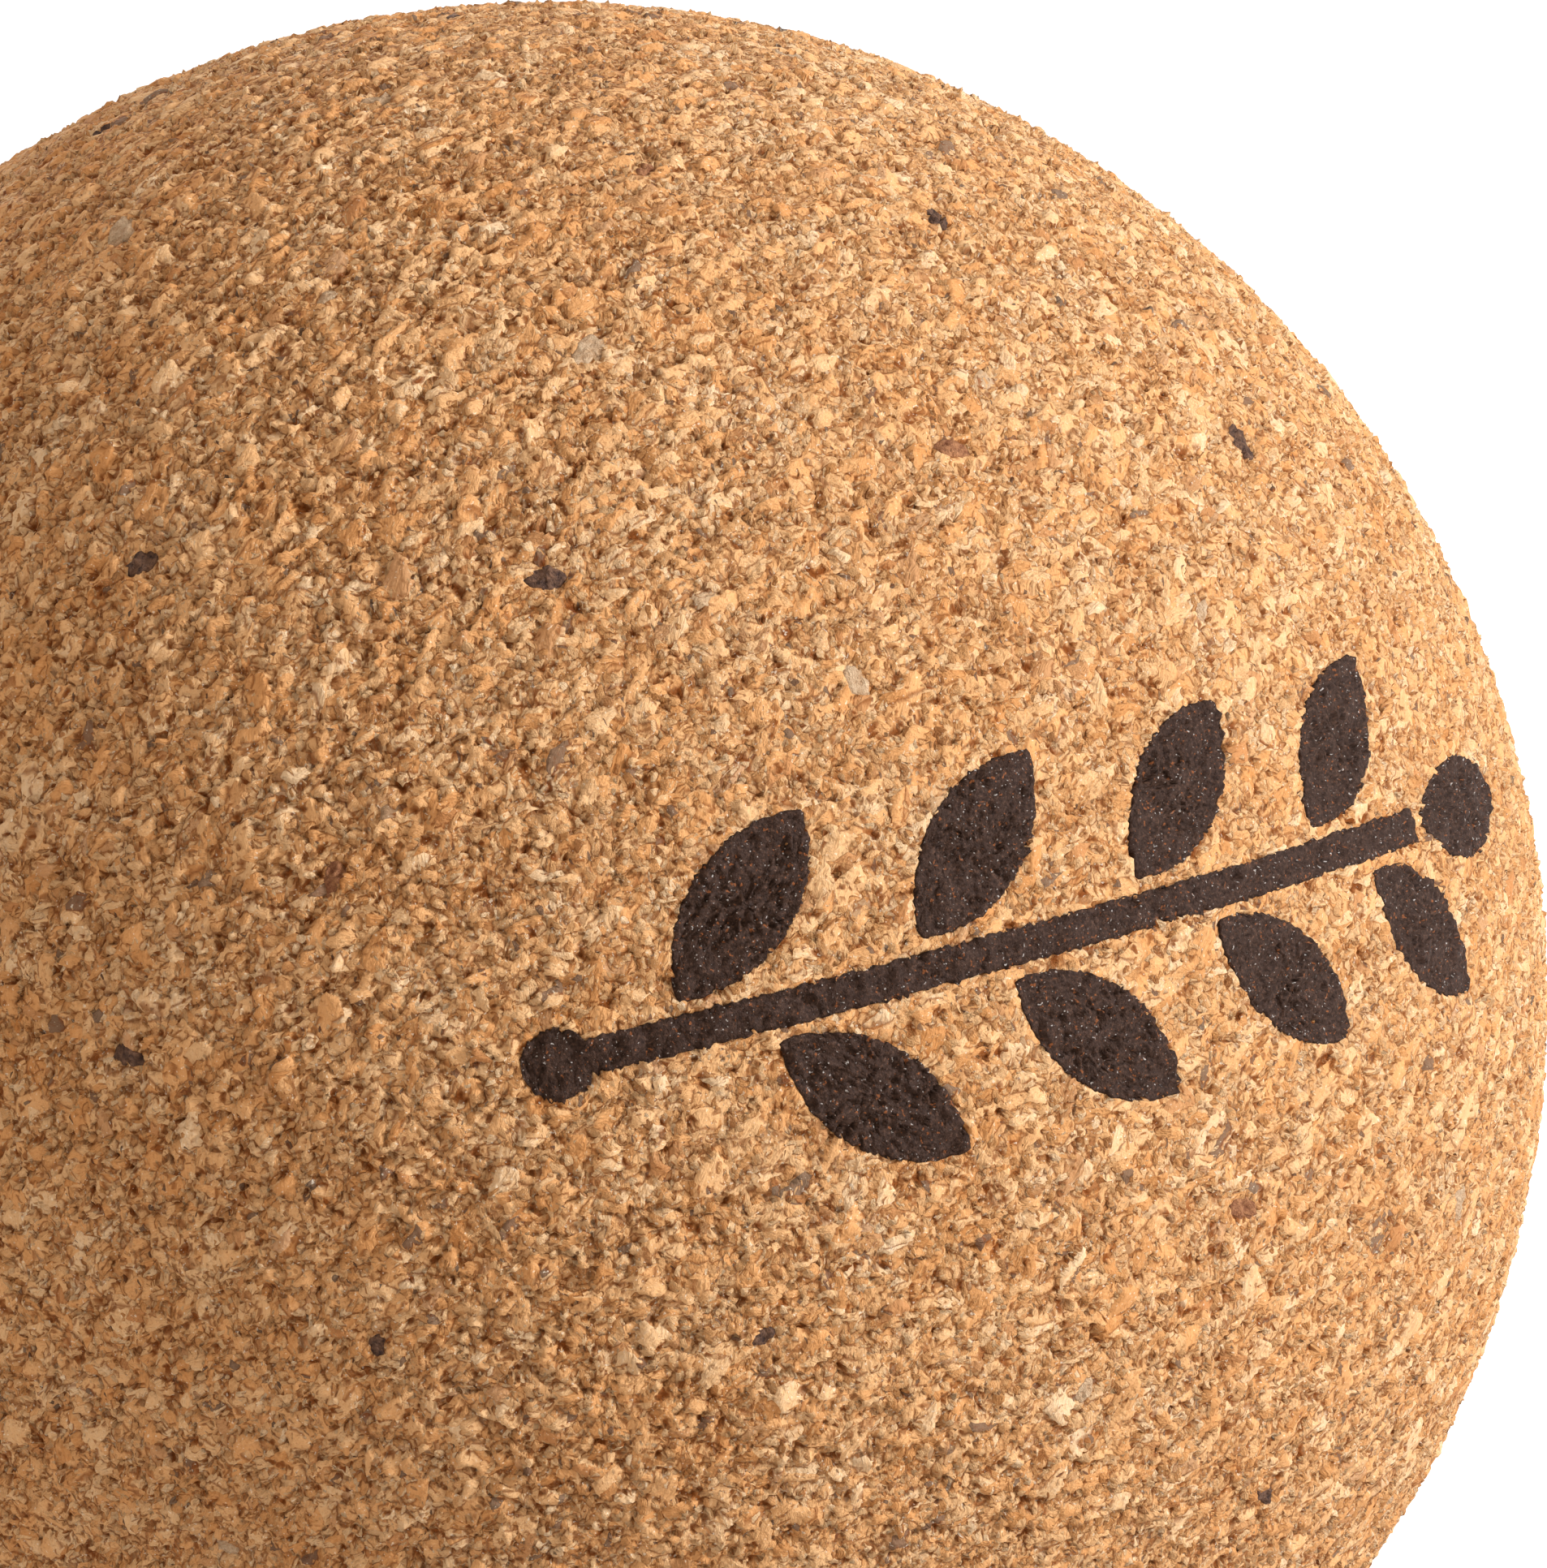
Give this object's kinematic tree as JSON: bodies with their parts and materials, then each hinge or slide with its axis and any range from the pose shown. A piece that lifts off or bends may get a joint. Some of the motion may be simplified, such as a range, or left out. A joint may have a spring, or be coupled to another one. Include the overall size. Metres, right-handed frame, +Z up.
{
  "type": "massage ball",
  "caption": "Solid ball of agglomerated cork for rolling massage, with coarse granules in its surface and a printed leaf sprig.",
  "frame": {"origin": "centre of the ball", "axes": "+Z up, through the top of the ball as it stands with the print upright; -Y out through the middle of the print; +X to the right for someone who faces the print"},
  "size_m": [0.065, 0.065, 0.065],
  "materials": {
    "cork": "matte",
    "bark": "matte",
    "russet_cork": "matte",
    "pale_cork": "matte",
    "ink": "matte"
  },
  "bodies": {
    "root": {"cork_ball": "cork", "bark_flecks": "bark", "russet_granules": "russet_cork", "pale_granules": "pale_cork", "printed_stem": "ink", "printed_tip_leaf": "ink", "printed_upper_leaves": "ink", "printed_lower_leaves": "ink"}
  },
  "joints": []
}
